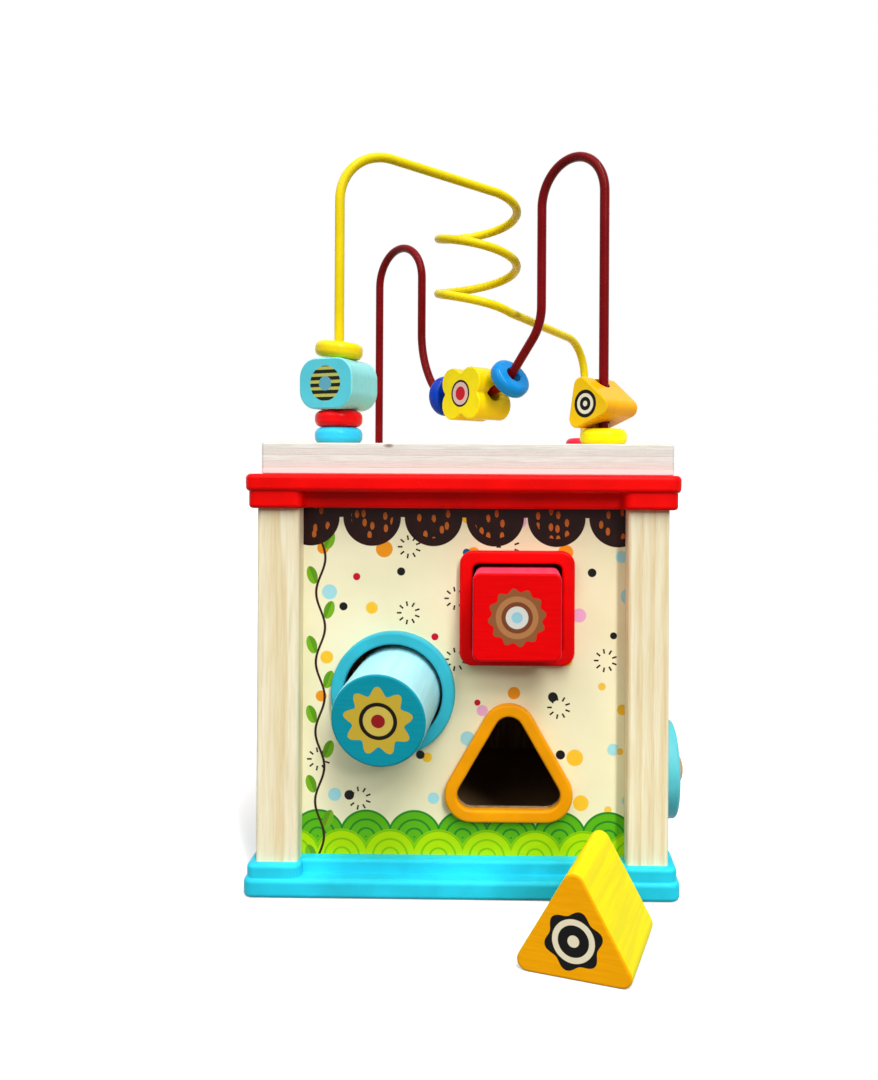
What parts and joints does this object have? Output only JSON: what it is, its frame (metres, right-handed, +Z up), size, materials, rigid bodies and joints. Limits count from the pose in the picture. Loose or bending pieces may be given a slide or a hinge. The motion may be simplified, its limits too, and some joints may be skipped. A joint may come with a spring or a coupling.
{
  "type": "shape sorter",
  "caption": "Wooden activity cube: a sorting box with round, square and triangular holes and blocks, turning wheels and gears on its sides, and a lift-off bead maze on top.",
  "frame": {"origin": "centre of the base board's underside, which rests on the floor", "axes": "+Z up; -Y towards the side with the sorting holes; +X to the right as seen from that side"},
  "size_m": [0.2305, 0.2808, 0.3703],
  "materials": {
    "base_paint": "satin turquoise paint on MDF",
    "frame_paint": "satin red paint on MDF",
    "pine": "bare planed pine",
    "panel_print": "cream ground with a printed pattern, matt lacquer",
    "panel_plain": "plain cream, matt lacquer",
    "plywood": "bare birch plywood",
    "turquoise_paint": "satin turquoise paint",
    "orange_paint": "satin orange paint",
    "screw_steel": "zinc-plated steel",
    "beech": "bare turned beech",
    "yellow_wire_paint": "glossy yellow coating",
    "red_wire_paint": "glossy dark red coating",
    "bead_blue": "glossy light blue lacquer",
    "bead_red": "glossy red lacquer",
    "bead_teal": "glossy teal lacquer",
    "bead_yellow": "glossy yellow lacquer",
    "bead_dark_blue": "glossy dark blue lacquer",
    "bead_orange": "glossy orange lacquer",
    "block_teal": "satin stain with the grain showing",
    "block_red": "satin stain with the grain showing",
    "block_yellow": "satin stain with the grain showing, orange end faces",
    "gear_blue": "satin grey-blue paint",
    "gear_red": "satin red paint",
    "gear_yellow": "satin yellow paint"
  },
  "bodies": {
    "cube": {"base_board": "base_paint", "post_front_left": "pine", "post_front_right": "pine", "post_back_left": "pine", "post_back_right": "pine", "top_frame": "frame_paint", "front_panel": "panel_print", "back_panel": "panel_plain", "left_panel": "panel_print", "right_panel": "panel_print", "round_ring": "turquoise_paint", "square_ring": "frame_paint", "triangle_ring": "orange_paint", "base_screws": "screw_steel", "frame_screws": "screw_steel", "wheel_axles": "beech", "gear_axles": "beech", "axle_washers": "beech"},
    "lid": {"lid_board": "plywood", "lid_plug": "plywood", "yellow_wire": "yellow_wire_paint", "red_wire": "red_wire_paint"},
    "left_blue_disc": {"left_blue_disc": "bead_blue"},
    "left_red_disc": {"left_red_disc": "bead_red"},
    "teal_bead": {"teal_bead": "bead_teal"},
    "left_yellow_disc": {"left_yellow_disc": "bead_yellow"},
    "dark_blue_disc": {"dark_blue_disc": "bead_dark_blue"},
    "flower_bead": {"flower_bead": "bead_yellow"},
    "light_blue_disc": {"light_blue_disc": "bead_blue"},
    "right_yellow_disc": {"right_yellow_disc": "bead_yellow"},
    "triangle_bead": {"triangle_bead": "bead_orange"},
    "back_red_disc": {"back_red_disc": "bead_red"},
    "round_block": {"round_block": "block_teal"},
    "square_block": {"square_block": "block_red"},
    "triangle_block": {"triangle_block": "block_yellow"},
    "front_wheel": {"front_wheel": "turquoise_paint"},
    "back_wheel": {"back_wheel": "orange_paint"},
    "gear_front": {"gear_front": "gear_blue"},
    "gear_middle": {"gear_middle": "gear_red"},
    "gear_back": {"gear_back": "gear_yellow"}
  },
  "joints": [
    {"name": "lid_lift", "type": "slide", "parent": "cube", "child": "lid", "axis": [0, 0, 1], "range_m": [0, 0.12]},
    {"name": "left_blue_slide", "type": "slide", "parent": "lid", "child": "left_blue_disc", "axis": [0, 0, 1], "range_m": [0, 0.008]},
    {"name": "left_red_slide", "type": "slide", "parent": "left_blue_disc", "child": "left_red_disc", "axis": [0, 0, 1], "range_m": [0, 0.01]},
    {"name": "teal_slide", "type": "slide", "parent": "left_red_disc", "child": "teal_bead", "axis": [0, 0, 1], "range_m": [0, 0.012]},
    {"name": "left_yellow_slide", "type": "slide", "parent": "teal_bead", "child": "left_yellow_disc", "axis": [0, 0, 1], "range_m": [0, 0.035]},
    {"name": "right_yellow_slide", "type": "slide", "parent": "lid", "child": "right_yellow_disc", "axis": [0, 0, 1], "range_m": [0, 0.03]},
    {"name": "triangle_bead_slide", "type": "slide", "parent": "right_yellow_disc", "child": "triangle_bead", "axis": [0, 0, 1], "range_m": [0, 0.06]},
    {"name": "back_red_slide", "type": "slide", "parent": "lid", "child": "back_red_disc", "axis": [0, 0, 1], "range_m": [0, 0.03]},
    {"name": "flower_slide", "type": "slide", "parent": "lid", "child": "flower_bead", "axis": [0.7071, -0.7071, 0], "range_m": [-0.005, 0]},
    {"name": "dark_blue_swing", "type": "hinge", "parent": "lid", "child": "dark_blue_disc", "pos_m": [-0.01686, 0.01876, 0.2669], "axis": [0.7071, 0.7071, 0], "range_deg": [-1, 20]},
    {"name": "light_blue_swing", "type": "hinge", "parent": "lid", "child": "light_blue_disc", "pos_m": [0.01071, -0.00881, 0.2689], "axis": [0.7071, 0.7071, 0], "range_deg": [-1, 4]},
    {"name": "round_block_push", "type": "slide", "parent": "cube", "child": "round_block", "axis": [-0.0865, -0.9888, -0.1219], "range_m": [-0.06, 0.03]},
    {"name": "square_block_push", "type": "slide", "parent": "cube", "child": "square_block", "axis": [0, -1, 0], "range_m": [-0.06, 0.03]},
    {"name": "triangle_block_lift", "type": "slide", "parent": "cube", "child": "triangle_block", "axis": [0, 0, 1], "range_m": [0, 0.06]},
    {"name": "front_wheel_spin", "type": "hinge", "parent": "cube", "child": "front_wheel", "pos_m": [0.0885, -0.028, 0.0391], "axis": [1, 0, 0], "continuous": true},
    {"name": "back_wheel_spin", "type": "hinge", "parent": "cube", "child": "back_wheel", "pos_m": [0.0885, 0.028, 0.0391], "axis": [1, 0, 0], "continuous": true},
    {"name": "gear_middle_spin", "type": "hinge", "parent": "cube", "child": "gear_middle", "pos_m": [-0.0885, 0, 0.0899], "axis": [1, 0, 0], "continuous": true},
    {"name": "gear_front_spin", "type": "hinge", "parent": "cube", "child": "gear_front", "pos_m": [-0.0885, -0.036, 0.06], "axis": [1, 0, 0], "continuous": true},
    {"name": "gear_back_spin", "type": "hinge", "parent": "cube", "child": "gear_back", "pos_m": [-0.0885, 0.036, 0.06], "axis": [1, 0, 0], "continuous": true}
  ],
  "couplings": [
    {"joint": "gear_front_spin", "follows": "gear_middle_spin", "ratio": -1},
    {"joint": "gear_back_spin", "follows": "gear_middle_spin", "ratio": -1}
  ]
}
